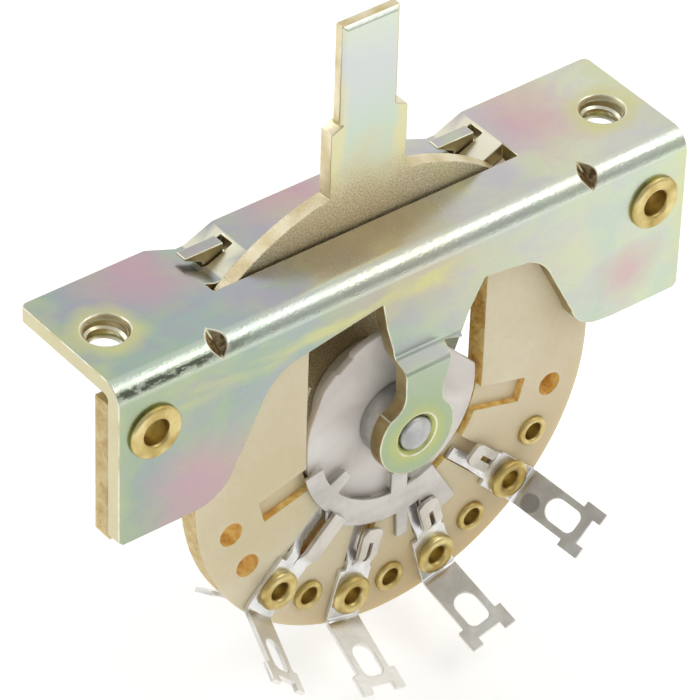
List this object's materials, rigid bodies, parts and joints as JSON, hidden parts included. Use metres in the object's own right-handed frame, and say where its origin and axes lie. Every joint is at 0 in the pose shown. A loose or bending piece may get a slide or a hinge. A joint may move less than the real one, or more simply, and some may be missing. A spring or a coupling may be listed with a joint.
{
  "type": "guitar pickup selector switch",
  "caption": "Lever-operated rotary wafer switch on a folded steel bracket; the lever turns a rotor whose contact blades join solder lugs to select guitar pickups",
  "frame": {"origin": "midway between the two mounting holes on the outer face of the mounting plate", "axes": "+X along the slot towards the right-hand hole as seen from the terminal side, +Y from the wafer side to the rear edge of the plate, +Z out of the plate along the lever at its middle position"},
  "size_m": [0.0472, 0.0157, 0.0492],
  "materials": {
    "zinc_yellow": "glossy yellow-green iridescent zinc plating",
    "lever_steel": "matte plated steel with a yellow tint",
    "shaft_steel": "satin turned steel",
    "spring_steel": "satin spring steel",
    "phenolic": "cream laminated board, orange-brown cut edges",
    "nylon": "moulded nylon, slightly lilac",
    "lug_tin": "tinned brass, satin grey",
    "contact_silver": "silver plate",
    "eyelet_brass": "bright rolled brass"
  },
  "bodies": {
    "frame": {"frame_bracket": "zinc_yellow", "wafer": "phenolic", "frame_eyelet_left": "eyelet_brass", "frame_eyelet_right": "eyelet_brass", "lug_front_1": "lug_tin", "lug_front_2": "lug_tin", "lug_front_3": "lug_tin", "lug_front_4": "lug_tin", "lug_back_1": "lug_tin", "lug_back_2": "lug_tin", "lug_back_3": "lug_tin", "lug_back_4": "lug_tin", "lug_eyelet_front_1": "eyelet_brass", "lug_eyelet_front_2": "eyelet_brass", "lug_eyelet_front_3": "eyelet_brass", "lug_eyelet_front_4": "eyelet_brass", "lug_eyelet_back_1": "eyelet_brass", "lug_eyelet_back_2": "eyelet_brass", "lug_eyelet_back_3": "eyelet_brass", "lug_eyelet_back_4": "eyelet_brass", "index_plate": "zinc_yellow", "detent_spring": "spring_steel", "detent_rivet": "eyelet_brass"},
    "lever": {"lever": "lever_steel", "rotor": "nylon", "contact_blade_front": "contact_silver", "contact_blade_back": "contact_silver", "shaft": "shaft_steel", "spacer": "shaft_steel", "retaining_ring": "spring_steel"}
  },
  "joints": [
    {"name": "lever_pivot", "type": "hinge", "parent": "frame", "child": "lever", "pos_m": [0, 0, -0.0141], "axis": [0, 1, 0], "range_deg": [-30, 30], "deforming": ["detent_spring"]}
  ]
}
